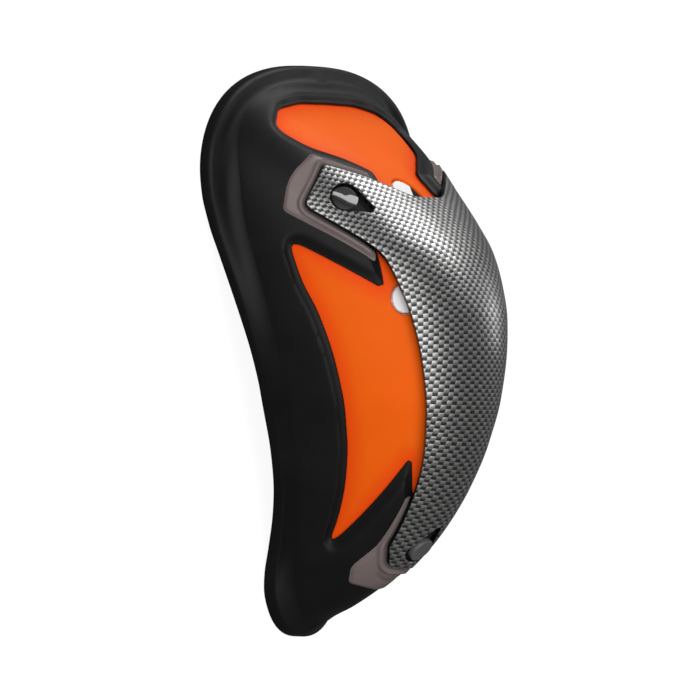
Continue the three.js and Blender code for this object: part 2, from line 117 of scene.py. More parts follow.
# Outlines drawn on the shell: across from the midline, along the cup, radius of the corner.
# The halves are the left side, from the waist to the tail. The sockets run under the shield.
OPENING_HALF = (
    (0, 71.6, 0), (-15, 71.4, 40), (-28, 69.4, 16), (-36, 63.6, 3), (-30, 58.4, 14),
    (-20, 55.2, 12), (-11.8, 51.6, 2.2), (-14, 46, 2), (-29.8, 32, 3), (-30.8, 18.2, 1),
    (-54.4, 32.6, 4), (-54.6, 21, 24), (-46.4, -0.5, 60), (-37, -25.2, 80), (-25, -56.4, 1.8),
    (-17, -29.2, 1), (-11.4, -40.6, 8), (0, -47, 0),
)
SHIELD_HALF = (
    (0, 42.4, 0), (-8, 42.4, 16), (-21.5, 48.2, 20), (-32, 51.6, 1.8), (-43.6, 41, 2),
    (-29.4, 27.4, 10), (-23.4, 5, 70), (-13.2, -33, 90), (-9.2, -53.8, 4), (-5, -59.2, 4),
    (0, -59.2, 0),
)
ARM_SOCKET = (
    (-18.2, 50.2, 0.6), (-32.4, 55.6, 2.4), (-43.2, 49.8, 24), (-50.6, 39.8, 1.8),
    (-31.8, 25.6, 0.6), (-30.6, 29.5, 0.4), (-27, 37, 3), (-18.6, 45.4, 0.5),
)
TAIL_SOCKET_HALF = (
    (0, -41, 0), (-9.4, -39.8, 0.4), (-12.5, -39.6, 0.3), (-13.2, -41, 0.6), (-12, -53.8, 9),
    (-13.8, -60.4, 3), (-9.6, -65.2, 6), (0, -66.6, 0),
)

# Rivets: name, place across and along, heading of the keyhole slot in degrees.
RIVETS = (
    ("rivet_left", -31.6, 42.6, -30),
    ("rivet_right", 31.6, 42.6, 210),
    ("rivet_tail", 0, -54.2, 90),
)
KEYHOLE = (4.3, 1.3, 7.6)  # radius, radius of the narrow end, distance between them

# Vents through the hard shell: place across and along, radius.
VENTS = ((0, 45.6, 7.0), (-24.6, 15.8, 4.8), (24.6, 15.8, 4.8))

# The weave: millimetres of the shield that one unit of its pattern covers, how much its rows bow,
# where along the cup they run straight, and how far from the midline the bow levels off.
PATTERN_SPAN = 100.0
BOW = 0.00019
BOW_STRAIGHT = -5
BOW_REACH = 60

# The studio, in metres. Lights: name, place, size, power in watts.
LIGHTS = (
    ("front light", (-1.22, 0.09, 1.17), 2.0, 32),
    ("waist light", (0.83, 1.27, 0.64), 1.0, 15.5),
    ("side light", (1.35, 0.3, 0.57), 0.3, 1.2),
)
LIGHT_AIM = (0, 0, 0.03)
SKY_LIGHT = 0.17
FLOOR_GLOW = 0.92
WHITE = (1, 1, 1, 1)
CAMERA_LEAN = 58  # degrees from straight down
CAMERA_ROLL = 1.2  # degrees
CAMERA_PLACE = (0.01492, 0.00065, 3.396)  # to its right, up and away from the origin


# The form of the cup, in millimetres

def section_curve(column):
    """Smooth curve through one column of the section table, with no overshoot."""
    places = SECTIONS[:, 0]
    values = SECTIONS[:, column]
    steps = np.diff(places)
    slopes = np.diff(values) / steps
    before = 2 * steps[1:] + steps[:-1]
    after = steps[1:] + 2 * steps[:-1]
    level = slopes[:-1] * slopes[1:] <= 0
    first = np.where(level, 1, slopes[:-1])
    second = np.where(level, 1, slopes[1:])
    inner = np.where(level, 0, (before + after) / (before / first + after / second))
    tangents = np.concatenate((slopes[:1], inner, slopes[-1:]))

    def curve(at):
        x = np.clip(at, places[0], places[-1])
        i = np.clip(np.searchsorted(places, x) - 1, 0, len(steps) - 1)
        t = (x - places[i]) / steps[i]
        keep = 1 + t * t * (2 * t - 3)
        lead = t * (1 - t) ** 2 * steps[i] * tangents[i]
        tail = t * t * (t - 1) * steps[i] * tangents[i + 1]
        return keep * values[i] + (1 - keep) * values[i + 1] + lead + tail

    return curve


foot_width, flange_width, crown_height, rim_lift, pad_thickness, arch_power = map(
    section_curve, range(1, 7)
)


def end_share(y, ends):
    """Share of the full width that is left near the rounded ends of an outline."""
    share = 1.0
    for start, stop, power in ends:
        reach = np.clip((y - start) / (stop - start), 0, 1)
        share = share * (1 - reach ** power) ** (1 / power)
    return share


def foot_half(y):
    """Half width of the cup at the foot of its wall."""
    return foot_width(y) * end_share(y, FOOT_ENDS)


def flange_half(y):
    """Half width of the cup at the edge of its rim."""
    return flange_width(y) * end_share(y, FLANGE_ENDS)


def shell_height(x, y):
    """Height of the hard shell's outer surface over a point of the floor."""
    across = np.minimum(np.abs(x) / np.maximum(foot_half(y), TINY), 1)
    lift = rim_lift(y)
    rise = np.maximum(crown_height(y) - lift, 0)
    return lift + rise * np.sqrt(1 - across ** arch_power(y))


def off_shell(x, y, distance):
    """Points at a distance out from the hard shell, square to it."""
    room = np.maximum(foot_half(y) - np.abs(x), 0)
    dy = 0.05
    dx = np.minimum(dy, 0.2 * room + 1e-5)
    slope_x = (shell_height(x - dx, y) - shell_height(x + dx, y)) / (2 * dx)
    slope_y = (shell_height(x, y - dy) - shell_height(x, y + dy)) / (2 * dy)
    normal = np.stack((slope_x, slope_y, np.ones_like(slope_x)), -1)
    normal /= np.linalg.norm(normal, axis=-1, keepdims=True)
    seat = np.stack((x, y, shell_height(x, y)), -1)
    return seat + normal * np.asarray(distance)[..., None]


QUARTER = np.sin(np.linspace(0, math.pi / 2, 121))


def lengths_across(y):
    """Points across each half section, and the length of the surface up to each of them."""
    x = foot_half(y)[:, None] * QUARTER
    z = shell_height(x, y[:, None])
    steps = np.hypot(np.diff(x), np.diff(z))
    gone = np.concatenate((np.zeros((len(y), 1)), np.cumsum(steps, axis=1)), axis=1)
    return x, gone


def between(knots, values, at):
    """Values looked up between knots, row by row."""
    row = np.arange(len(at))
    i = np.clip((knots < at[:, None]).sum(1) - 1, 0, knots.shape[1] - 2)
    span = np.maximum(knots[row, i + 1] - knots[row, i], 1e-9)
    share = (at - knots[row, i]) / span
    return values[row, i] + share * (values[row, i + 1] - values[row, i])


def plan_across(u, y):
    """Distance from the midline in plan of a point at u over the surface."""
    x, gone = lengths_across(y)
    return np.sign(u) * np.minimum(between(gone, x, np.abs(u)), NEAR_FOOT * foot_half(y))


def surface_across(x, y):
    """Distance from the midline over the surface of a point at x in plan."""
    knots, gone = lengths_across(y)
    return np.sign(x) * between(knots, gone, np.abs(x))


def surface(u, y, distance):
    """Points at u across the shell, y along it and a distance out from it."""
    return off_shell(plan_across(u, y), y, distance)


def eased(value, start, stop):
    """Smooth step from 0 at start to 1 at stop."""
    t = np.clip((value - start) / (stop - start), 0, 1)
    return t * t * (3 - 2 * t)


def even(value):
    """The same value at every place."""
    return lambda at: np.full(len(at), float(value))


# Lines drawn on the shell

def rounded_loop(corners, step=0.1):
    """Close points round a polygon whose corners are rounded."""
    points = np.array([corner[:2] for corner in corners], float)
    pieces = []
    for i, corner in enumerate(corners):
        point = points[i]
        back = points[i - 1] - point
        ahead = points[(i + 1) % len(points)] - point
        back_length = np.linalg.norm(back)
        ahead_length = np.linalg.norm(ahead)
        half = math.acos(np.clip(back @ ahead / (back_length * ahead_length), -1, 1)) / 2
        cut = min(corner[2] / math.tan(half), 0.48 * min(back_length, ahead_length))
        start = point + back / back_length * cut
        stop = point + ahead / ahead_length * cut
        t = np.linspace(0, 1, max(2, math.ceil(2 * cut / step)))[:, None]
        pieces.append((1 - t) ** 2 * start + 2 * t * (1 - t) * point + t ** 2 * stop)
    loop = []
    for piece, after in zip(pieces, pieces[1:] + pieces[:1]):
        loop.append(piece)
        count = max(2, math.ceil(np.linalg.norm(after[0] - piece[-1]) / step))
        t = np.linspace(0, 1, count + 1)[1:-1, None]
        loop.append(piece[-1] + t * (after[0] - piece[-1]))
    loop = np.concatenate(loop)
    keep = np.linalg.norm(loop - np.roll(loop, 1, axis=0), axis=1) > CLOSE
    return loop[keep]


def mirrored(half):
    """Whole outline from its left half."""
    left = [corner for corner in half[1:] if corner[0]]
    middle = [corner for corner in half[1:] if not corner[0]]
    right = [(-u, y, radius) for u, y, radius in reversed(left)]
    return [half[0], *left, *middle, *right]


def surface_frame(u, y):
    """Steps over the surface for one unit of u and of y, as two sets of vectors."""
    step = 0.25
    along_u = (surface(u + step, y, 0 * u) - surface(u - step, y, 0 * u)) / (2 * step)
    along_y = (surface(u, y + step, 0 * u) - surface(u, y - step, 0 * u)) / (2 * step)
    return along_u, along_y


def drawn_at(u, y, loop):
    """A small loop drawn true to size round a point of the shell."""
    along_u, along_y = (side[0] for side in surface_frame(np.array([float(u)]), np.array([float(y)])))
    right = along_u / np.linalg.norm(along_u)
    up = np.cross(np.cross(right, along_y), right)
    up /= np.linalg.norm(up)
    along = loop[:, 1] / (along_y @ up)
    across = (loop[:, 0] - along * (along_y @ right)) / np.linalg.norm(along_u)
    return np.stack((u + across, y + along), -1)


def arc(radius, turn):
    """Points of a circle at some turns."""
    return radius * np.stack((np.cos(turn), np.sin(turn)), -1)


def circle_loop(radius, count=240):
    """Points round a circle."""
    return arc(radius, np.linspace(0, 2 * math.pi, count, endpoint=False))


def keyhole_loop(heading):
    """Points round a keyhole slot that narrows along its heading."""
    wide, narrow, length = KEYHOLE
    taper = math.acos((wide - narrow) / length)
    turn = math.radians(heading)
    big = np.linspace(turn + taper, turn - taper + 2 * math.pi, 120)
    small = np.linspace(turn - taper, turn + taper, 60)
    return np.concatenate((arc(wide, big), arc(length, turn) + arc(narrow, small)))


class DrawnLine:
    """A closed line on the shell that measures how far points are from it over the surface."""

    def __init__(self, loop):
        ahead = np.roll(loop, -1, axis=0)
        area = np.sum(loop[:, 0] * ahead[:, 1] - ahead[:, 0] * loop[:, 1])
        self.loop = loop if area > 0 else loop[::-1]
        u, y = self.loop.T
        self.tree = KDTree(len(u))
        for i, point in enumerate(surface(u, y, 0 * u)):
            self.tree.insert(point, i)
        self.tree.balance()
        along_u, along_y = surface_frame(u, y)
        uu = np.sum(along_u * along_u, -1)
        uy = np.sum(along_u * along_y, -1)
        yy = np.sum(along_y * along_y, -1)
        tangent = np.roll(self.loop, -1, axis=0) - np.roll(self.loop, 1, axis=0)
        left = np.stack((-tangent[:, 1], tangent[:, 0]), -1)
        inward = np.stack((yy * left[:, 0] - uy * left[:, 1], uu * left[:, 1] - uy * left[:, 0]), -1)
        size = uu * inward[:, 0] ** 2 + 2 * uy * inward[:, 0] * inward[:, 1] + yy * inward[:, 1] ** 2
        self.inward = inward / np.sqrt(size)[:, None]

    def encloses(self, at):
        """Whether each point is inside the line."""
        loop = self.loop[::3]
        ahead = np.roll(loop, -1, axis=0)
        inside = np.zeros(len(at), bool)
        for (u0, y0), (u1, y1) in zip(loop, ahead):
            if y0 == y1:
                continue
            spans = (at[:, 1] >= min(y0, y1)) & (at[:, 1] < max(y0, y1))
            inside ^= spans & (at[:, 0] < u0 + (at[:, 1] - y0) * (u1 - u0) / (y1 - y0))
        return inside

    def measure(self, at, places):
        """Distance of each point outside the line, and the step that leads one millimetre in."""
        found = [self.tree.find(place) for place in places]
        nearest = np.array([item[1] for item in found])
        far = np.array([item[2] for item in found])
        sign = np.where(self.encloses(at), -1, 1)
        straight = (at - self.loop[nearest]) / (-sign * np.maximum(far, TINY))[:, None]
        clear = (far > 0.25)[:, None]
        return sign * far, np.where(clear, straight, self.inward[nearest])


def outline(half):
    """Line round a whole outline, from its left half."""
    return DrawnLine(rounded_loop(mirrored(half)))


def measure(lines, at):
    """Distance outside a piece bounded by outlines (+1) and holes (-1), each with a clearance,
    and the way in."""
    places = surface(at[:, 0], at[:, 1], np.zeros(len(at)))
    outside = np.full(len(at), -1e9)
    inward = np.zeros((len(at), 2))
    for line, side, clearance in lines:
        gap, way = line.measure(at, places)
        beyond = side * gap + clearance
        nearer = beyond > outside
        outside = np.where(nearer, beyond, outside)
        inward = np.where(nearer[:, None], side * way, inward)
    return outside, inward


# Sheets that are trimmed along drawn lines and given a wall

def flat_sheet(low, high, cell):
    """Grid of square cells over a rectangle of the pattern."""
    size = np.subtract(high, low)
    bm = bmesh.new()
    count = [max(2, round(side / cell)) for side in size]
    bmesh.ops.create_grid(bm, x_segments=count[0], y_segments=count[1], size=0.5)
    bmesh.ops.scale(bm, vec=(size[0], size[1], 1), verts=bm.verts)
    middle = np.add(low, high) / 2
    bmesh.ops.translate(bm, vec=(middle[0], middle[1], 0), verts=bm.verts)
    return bm


def positions(verts):
    """Places of vertices as an array."""
    return np.array([vert.co[:] for vert in verts]).reshape(-1, 3)


def trim(bm, lines, rounding):
    """Cuts a sheet back to its lines, less the rounding that its edge will get."""

    def beyond(at):
        gap, inward = measure(lines, at)
        return gap + rounding, inward

    def pull(vert, distance, way):
        vert.co.x += way[0] * distance
        vert.co.y += way[1] * distance

    verts = list(bm.verts)
    on_line = set()
    side = {}
    for vert, distance, way in zip(verts, *beyond(positions(verts)[:, :2])):
        cell = min(edge.calc_length() for edge in vert.link_edges)
        side[vert] = distance
        if abs(distance) < NEAR_LINE * cell:
            pull(vert, distance, way)
            side[vert] = 0.0
            on_line.add(vert)
    crossing = []
    for edge in bm.edges:
        first, second = edge.verts
        if side[first] * side[second] < 0:
            crossing.append((edge, first, side[first] / (side[first] - side[second])))
    fresh = [bmesh.utils.edge_split(edge, first, share)[1] for edge, first, share in crossing]
    for _ in range(2):
        for vert, distance, way in zip(fresh, *beyond(positions(fresh)[:, :2])):
            pull(vert, distance, way)
    on_line.update(fresh)
    bmesh.ops.connect_verts(bm, verts=list(on_line))
    waste = []
    doubtful = []
    for face in bm.faces:
        loose = [side[vert] for vert in face.verts if vert not in on_line]
        if not loose:
            doubtful.append(face)
        elif max(loose) > 0:
            waste.append(face)
    if doubtful:
        at = np.array([face.calc_center_median()[:2] for face in doubtful])
        waste += [face for face, distance in zip(doubtful, beyond(at)[0]) if distance > 0]
    bmesh.ops.delete(bm, geom=waste, context="FACES")
    stray = [vert for vert in bm.verts if not vert.link_faces]
    bmesh.ops.delete(bm, geom=stray, context="VERTS")


def give_wall(bm, at_foot=lambda vert: False, foot_rows=0):
    """Doubles a sheet into an inner face at depth 0 and an outer face at depth 1, with rows of
    vertices down the wall between them."""
    made = bmesh.ops.extrude_face_region(bm, geom=bm.faces[:], use_keep_orig=True)["geom"]
    outer = [item for item in made if isinstance(item, bmesh.types.BMVert)]
    bmesh.ops.translate(bm, vec=(0, 0, 1), verts=outer)
    upright = [edge for edge in bm.edges if abs(edge.verts[0].co.z - edge.verts[1].co.z) > 0.5]
    foot_edges = [edge for edge in upright if at_foot(edge.verts[0])]
    lip_edges = [edge for edge in upright if not at_foot(edge.verts[0])]
    bmesh.ops.subdivide_edges(bm, edges=lip_edges, cuts=LIP_STEPS + 1)
    if foot_edges:
        bmesh.ops.subdivide_edges(bm, edges=foot_edges, cuts=foot_rows)


def on_wall(depth):
    """Whether vertices are on the wall between the two faces of a sheet."""
    return (depth > 1e-4) & (depth < 1 - 1e-4)


def lip_places(at, depth, lines, rounding, low, high):
    """Pattern places and heights of a walled sheet, with a rounded edge along its lines."""
    row = np.rint((1 - depth) * (LIP_STEPS + 2)).astype(int)
    top = high(at)
    height = np.where(depth > 0.5, top, low)
    wall = on_wall(depth)
    below = row[wall] > LIP_STEPS
    turn = np.minimum(row[wall] / LIP_STEPS, 1) * math.pi / 2
    out = np.where(below, rounding, rounding * np.sin(turn))
    place = at.copy()
    place[wall] -= measure(lines, at[wall])[1] * out[:, None]
    drop = np.minimum(rounding, top[wall] - low) * (1 - np.cos(turn))
    height[wall] = np.where(below, low, top[wall] - drop)
    return place, height


def walled_sheet(low, high, cell, lines, lip, under, top):
    """Flat sheet trimmed along its lines and given a wall, with its pattern places and heights."""
    bm = flat_sheet(low, high, cell)
    trim(bm, lines, lip)
    give_wall(bm)
    spots = positions(bm.verts)
    return bm, *lip_places(spots[:, :2], spots[:, 2], lines, lip, under, top)


def mark(bm, name, values):
    """Writes a value for each vertex under a name that a finish can read."""
    layer = bm.verts.layers.float.new(name)
    for vert, value in zip(bm.verts, values):
        vert[layer] = value


def mesh_object(name, bm, material):
    """New object in the scene, made of a finished bmesh."""
    mesh = bpy.data.meshes.new(name)
    bm.to_mesh(mesh)
    bm.free()
    mesh.materials.append(material)
    made = bpy.data.objects.new(name, mesh)
    bpy.context.scene.collection.objects.link(made)
    return made


def build(name, bm, places, cad_nodes, material):
    """Makes a piece in metres from a bmesh and the places of its vertices, and ties it to the
    frame."""
    for vert, place in zip(bm.verts, places):
        vert.co = Vector(place) * MM
    bmesh.ops.remove_doubles(bm, verts=bm.verts, dist=TINY)
    bmesh.ops.dissolve_degenerate(bm, edges=bm.edges, dist=TINY)
    bmesh.ops.recalc_face_normals(bm, faces=bm.faces)
    limit = math.radians(SMOOTH_ANGLE)
    for face in bm.faces:
        face.smooth = True
    for edge in bm.edges:
        edge.smooth = not edge.is_manifold or edge.calc_face_angle(0) < limit
    piece = mesh_object(name, bm, material)
    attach(piece, "root")
    if cad_nodes:
        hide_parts(*cad_nodes)


# The plan of the rim and of the dome that rises from it

def plan_spokes(turn):
    """Matching points on the foot and the edge of the rim, once round from the tail end, and the
    way from one to the other."""
    fine = 2400
    bend_weight = 12
    share = np.sin(np.linspace(-math.pi / 2, math.pi / 2, fine + 1))
    foot_y = share * np.where(share > 0, WAIST_FOOT, -TAIL_FOOT)
    edge_y = share * HALF_LENGTH
    foot_x = foot_half(foot_y)
    edge_x = flange_half(edge_y)
    heading = np.unwrap(np.arctan2(np.diff(edge_y), np.diff(edge_x)))
    bend = np.abs(np.diff(heading, prepend=heading[0]))
    weight = np.hypot(np.diff(edge_x), np.diff(edge_y)) + bend_weight * bend
    gone = np.concatenate(((0,), np.cumsum(weight)))
    folded = 1 - np.abs(1 - 2 * turn)
    side = np.where(turn > 0.5, -1.0, 1.0)
    side[(folded < 1e-9) | (folded > 1 - 1e-9)] = 0
    at = folded * gone[-1]
    foot = np.stack((side * np.interp(at, gone, foot_x), np.interp(at, gone, foot_y)), -1)
    edge = np.stack((side * np.interp(at, gone, edge_x), np.interp(at, gone, edge_y)), -1)
    reach = np.linalg.norm(edge - foot, axis=1)
    return foot, edge, (edge - foot) / np.maximum(reach, TINY)[:, None]


def dome_places(foot, share):
    """Pattern places at a share of the way from the seam on the crown to points of the foot."""
    across = NEAR_FOOT * np.sin(math.pi / 2 * share)
    along = SPINE_SHARE + (1 - SPINE_SHARE) * across
    y = along * foot[:, 1]
    return surface_across(across * foot[:, 0], y), y


def dome_sheet(spokes, rings):
    """Sheet over the whole dome, from the seam on the crown down to the foot of the wall."""
    bm = bmesh.new()
    bmesh.ops.create_grid(bm, x_segments=rings, y_segments=spokes, size=0.5)
    turn_layer = bm.verts.layers.float.new("turn")
    share_layer = bm.verts.layers.float.new("share")
    grid = positions(bm.verts)
    share = np.clip(grid[:, 0] + 0.5, 0, 1)
    turn = np.clip(grid[:, 1] + 0.5, 0, 1)
    foot = plan_spokes(turn)[0]
    u, y = dome_places(foot, share)
    for i, vert in enumerate(bm.verts):
        vert.co = (u[i], y[i], 0)
        vert[turn_layer] = turn[i]
        vert[share_layer] = share[i]
    bmesh.ops.remove_doubles(bm, verts=bm.verts, dist=CLOSE)
    return bm, turn_layer, share_layer


def walled_dome(spokes, rings, lines, lip, foot_rows):
    """Dome trimmed along its lines and given a wall, with the pattern places and depths of its
    vertices, their turns round the foot and which of them are on the wall of the foot."""
    bm, turn_layer, share_layer = dome_sheet(spokes, rings)

    def at_foot(vert):
        return vert[share_layer] > 1 - 1e-5

    trim(bm, lines, lip)
    give_wall(bm, at_foot, foot_rows)
    spots = positions(bm.verts)
    turn = np.array([vert[turn_layer] for vert in bm.verts])
    on_foot = np.array([at_foot(vert) for vert in bm.verts]) & on_wall(spots[:, 2])
    return bm, spots[:, :2], spots[:, 2], turn, on_foot


def softened(places):
    """Heights of points of the wall, eased into the top of the rim. The corner is tighter at the
    waist."""
    y = places[:, 1]
    floor = rim_lift(y) + pad_thickness(y)
    over = places[:, 2] - floor
    corner = FILLET - (FILLET - WAIST_FILLET) * eased(y, *WAIST_CORNER)
    return floor + (over + np.hypot(over, corner)) / 2


def cover_places(foot, share):
    """Points of the cover's outside at a share of the way from the crown to points of the foot."""
    u, y = dome_places(foot, np.full(len(foot), share))
    places = surface(u, y, np.full(len(foot), COVER_HIGH))
    places[:, 2] = softened(places)
    return places


def rim_rows(turn):
    """Rows of points from the outer foot of the wall, in a shallow sag down to the rounded edge of
    the rim, over it and back to the inner foot."""
    foot, edge, out = plan_spokes(turn)
    lift_foot = rim_lift(foot[:, 1])
    lift_edge = rim_lift(edge[:, 1])
    top_edge = lift_edge + pad_thickness(edge[:, 1])
    reach = np.linalg.norm(edge - foot, axis=1)
    corner = np.clip(reach - COVER_HIGH - 0.5 * LAYER_GAP, 0.15, EDGE_ROUND)

    def from_foot(distance, height):
        return np.column_stack((foot + out * distance, lift_foot + height))

    def from_edge(inset, height):
        return np.column_stack((edge - out * np.asarray(inset)[..., None], height))

    def over_edge(bend):
        return from_edge(corner * (1 - np.sin(bend)), top_edge - EDGE_ROUND * (1 - np.cos(bend)))

    start = cover_places(foot, 1.0)
    above_foot = 0.93
    fallen = start - cover_places(foot, above_foot)
    steepness = fallen[:, 2] / np.maximum(np.linalg.norm(fallen[:, :2], axis=1), TINY)
    span = np.linalg.norm(edge - start[:, :2], axis=1)
    first = np.zeros_like(reach)
    for _ in range(8):
        fall = start[:, 2] - top_edge + EDGE_ROUND * (1 - np.cos(first))
        across = np.maximum(span - corner * (1 - np.sin(first)), 0.1)
        first = np.clip(np.arctan(fall / across * corner / EDGE_ROUND), 0, STEEPEST)
    line = over_edge(first) - start
    length = np.linalg.norm(line[:, :2], axis=1)
    sag = np.clip(steepness - line[:, 2] / np.maximum(length, 0.1), -STEEPEST, 0) * length
    rows = []
    for t in np.arange(1, 6) / 6:
        row = start + line * t
        row[:, 2] += sag * t * (1 - t) ** 2
        rows.append(row)
    for t in np.arange(6) / 5:
        rows.append(over_edge(first + (math.pi / 2 - first) * t))
    under = 0.6 * EDGE_ROUND
    for bend in math.pi / 2 * np.arange(4) / 3:
        inset = np.minimum(under, corner) * (1 - math.cos(bend))
        rows.append(from_edge(inset, lift_edge + under * (1 - math.sin(bend))))
    sole = rows[-1]
    heel = from_foot(LIP_CORNER - LIP_WIDTH, 0)
    rows += [sole + (heel - sole) * 0.5, heel]
    for distance, height in (
        (-LIP_WIDTH, LIP_CORNER),
        (-LIP_WIDTH, LIP_HEIGHT - LIP_CORNER),
        (LIP_CORNER - LIP_WIDTH, LIP_HEIGHT),
        (-0.5 * LIP_WIDTH, LIP_HEIGHT),
        (COVER_LOW, LIP_HEIGHT),
    ):
        rows.append(from_foot(distance, height))
    return rows


# Node helpers and shared effects

def fill(tree, node, inputs):
    """Fills inputs of a node with values or links."""
    for name, value in inputs.items():
        socket = node.inputs[name]
        if isinstance(value, bpy.types.NodeSocket):
            tree.links.new(value, socket)
        else:
            socket.default_value = value


def add(tree, kind, inputs=None, **settings):
    """Adds a shader node, sets its options and fills its inputs."""
    made = tree.nodes.new(kind)
    for name, value in settings.items():
        setattr(made, name, value)
    fill(tree, made, inputs or {})
    return made


def maths(tree, operation, first, second=0.0):
    """Output of a Math node."""
    return add(tree, "ShaderNodeMath", {0: first, 1: second}, operation=operation).outputs[0]


def vector(tree, operation, first, second=(0, 0, 0)):
    """Output of a Vector Math node."""
    return add(tree, "ShaderNodeVectorMath", {0: first, 1: second}, operation=operation).outputs[0]


def noise(tree, place, scale, detail):
    """Outputs of a Noise node."""
    return add(tree, "ShaderNodeTexNoise", {"Vector": place, "Scale": scale, "Detail": detail}).outputs


def mix_values(tree, share, first, second):
    """Output of a Mix node for values."""
    return add(tree, "ShaderNodeMix", {0: share, 2: first, 3: second}).outputs[0]


def map_range(tree, value, low, high, out_low=0.0, out_high=1.0):
    """Output of a clamped Map Range node."""
    inputs = {"Value": value, "From Min": low, "From Max": high, "To Min": out_low, "To Max": out_high}
    return add(tree, "ShaderNodeMapRange", inputs).outputs["Result"]


def mix_colours(tree, share, first, second):
    """Output of a colour Mix node."""
    return add(tree, "ShaderNodeMix", {0: share, 6: first, 7: second}, data_type="RGBA").outputs[2]


def effect_group(name, inputs, outputs):
    """New node group with named sockets: its tree, the inputs that it offers and its end node."""
    tree = bpy.data.node_groups.new(name, "ShaderNodeTree")
    for label, kind in inputs:
        tree.interface.new_socket(label, in_out="INPUT", socket_type=kind)
    for label in outputs:
        tree.interface.new_socket(label, in_out="OUTPUT", socket_type="NodeSocketFloat")
    start = tree.nodes.new("NodeGroupInput")
    return tree, start.outputs, tree.nodes.new("NodeGroupOutput")


def moulded_grain():
    """Fine grain of a moulded surface with slow mottling and thin handling marks."""
    name = "moulded grain"
    if name in bpy.data.node_groups:
        return bpy.data.node_groups[name]
    inputs = (("Place", "NodeSocketVector"), ("Grain Size", "NodeSocketFloat"))
    tree, start, stop = effect_group(name, inputs, ("Grain", "Mottle", "Marks"))
    place = start["Place"]
    fine = noise(tree, place, start["Grain Size"], 3.0)["Fac"]
    slow = noise(tree, place, 55.0, 4.0)["Fac"]
    patches = noise(tree, place, 26.0, 1.0)["Fac"]
    rings = add(
        tree,
        "ShaderNodeTexWave",
        {"Vector": place, "Scale": 60.0, "Distortion": 5.0, "Detail": 2.0, "Detail Scale": 2.0},
        wave_type="RINGS",
        rings_direction="X",
    ).outputs["Fac"]
    thin = map_range(tree, rings, 0.93, 1.0)
    marks = maths(tree, "MULTIPLY", thin, map_range(tree, patches, 0.52, 0.68))
    fill(tree, stop, {"Grain": fine, "Mottle": slow, "Marks": marks})
    return tree


def plain_weave():
    """Plain weave of two tows: which tow is on top, its painted light and shade from end to end,
    how far its pillow rises, its fibres, and a number drawn for each cell."""
    name = "plain weave"
    if name in bpy.data.node_groups:
        return bpy.data.node_groups[name]
    labels = ("Tow", "Shade", "Pillow", "Fibre", "Lot")
    tree, start, stop = effect_group(name, (("Cells", "NodeSocketVector"),), labels)
    cells = start["Cells"]
    wander = noise(tree, cells, 0.35, 2.0)["Color"]
    shift = vector(tree, "SUBTRACT", wander, (0.5, 0.5, 0.5))
    moved = vector(tree, "ADD", cells, vector(tree, "MULTIPLY", shift, (0.4, 0.4, 0.0)))
    parts = add(tree, "ShaderNodeSeparateXYZ", {0: moved}).outputs
    column = maths(tree, "FLOOR", parts["X"])
    across = maths(tree, "SUBTRACT", parts["X"], column)
    staggered = maths(tree, "ADD", parts["Y"], column)
    along = maths(tree, "FRACT", maths(tree, "MULTIPLY", staggered, 0.5))

    # The silver tow covers the second half of each pair of cells. The tones along each pair are painted
    #     shade at its start and a painted highlight near its end, as if lit from the waist end.
    begun = map_range(tree, along, 0.38, 0.5)
    tow = maths(tree, "MULTIPLY", begun, map_range(tree, along, 0.95, 1.0, 1.0, 0.0))
    lower = map_range(tree, along, 0.3, 0.52, 0.02, 0.4)
    upper = map_range(tree, along, 0.5, 0.92, 0.0, 0.6)
    rising = maths(tree, "ADD", lower, upper)
    shade = maths(tree, "MULTIPLY", rising, map_range(tree, along, 0.94, 1.0, 1.0, 0.02))
    middle = maths(tree, "ABSOLUTE", maths(tree, "SUBTRACT", across, 0.5))
    side = map_range(tree, middle, 0.38, 0.5, 0.0, 0.5)
    evened = mix_values(tree, side, shade, 0.3)

    round_across = maths(tree, "SINE", maths(tree, "MULTIPLY", across, math.pi))
    round_along = maths(tree, "SINE", maths(tree, "MULTIPLY", along, 2 * math.pi))
    pillow = maths(tree, "ABSOLUTE", maths(tree, "MULTIPLY", round_across, round_along))
    rise = maths(tree, "POWER", pillow, 0.55)
    fine_across = vector(tree, "MULTIPLY", moved, (11.0, 1.0, 1.0))
    fine_along = vector(tree, "MULTIPLY", moved, (1.0, 11.0, 1.0))
    fibre_y = noise(tree, fine_across, 1.0, 2.0)["Fac"]
    fibre_x = noise(tree, fine_along, 1.0, 2.0)["Fac"]
    fibre = mix_values(tree, tow, fibre_x, fibre_y)
    cell = vector(tree, "FLOOR", moved)
    lot = add(tree, "ShaderNodeTexWhiteNoise", {"Vector": cell}, noise_dimensions="2D").outputs["Value"]
    fill(tree, stop, dict(zip(labels, (tow, evened, rise, fibre, lot))))
    return tree


def new_finish(name):
    """New material with its node tree and shader."""
    material = bpy.data.materials.new(name)
    material.use_nodes = True
    tree = material.node_tree
    return material, tree, tree.nodes["Principled BSDF"]


def add_relief(tree, shader, height, distance, strength):
    """Gives a finish a relief that follows a height."""
    inputs = {"Height": height, "Distance": distance, "Strength": strength}
    fill(tree, shader, {"Normal": add(tree, "ShaderNodeBump", inputs).outputs["Normal"]})


